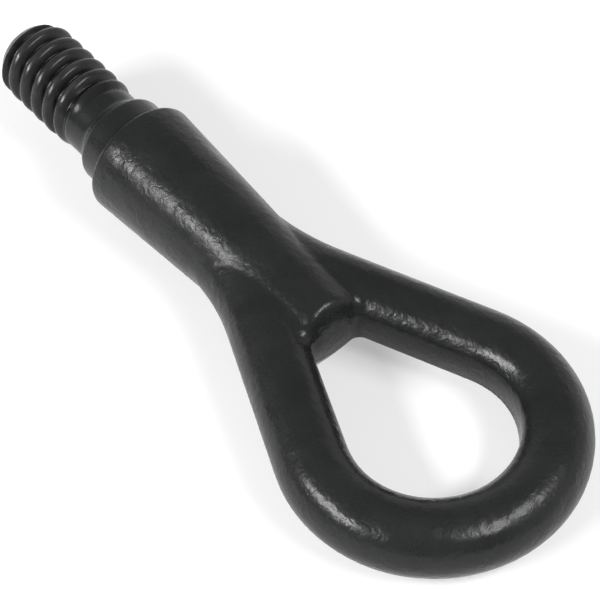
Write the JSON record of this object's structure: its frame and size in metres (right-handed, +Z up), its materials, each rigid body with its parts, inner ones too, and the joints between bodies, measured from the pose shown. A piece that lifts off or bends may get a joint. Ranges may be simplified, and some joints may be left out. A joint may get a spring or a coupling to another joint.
{
  "type": "tow eye",
  "caption": "Forged screw-in tow eye: coarse thread, plain neck, locating collar and tapered shank that forks into a closed teardrop loop for a tow rope or hook.",
  "frame": {"origin": "on the shank's axis, in the plane of the shoulder that seats against the socket", "axes": "+X along the shank toward the loop, the thread toward -X, the loop flat in XY, +Z up"},
  "size_m": [0.1774, 0.0684, 0.0283],
  "materials": {
    "black_paint": "satin black coat over a finely wrinkled forged surface"
  },
  "bodies": {
    "root": {"tow_eye": "black_paint"}
  },
  "joints": []
}
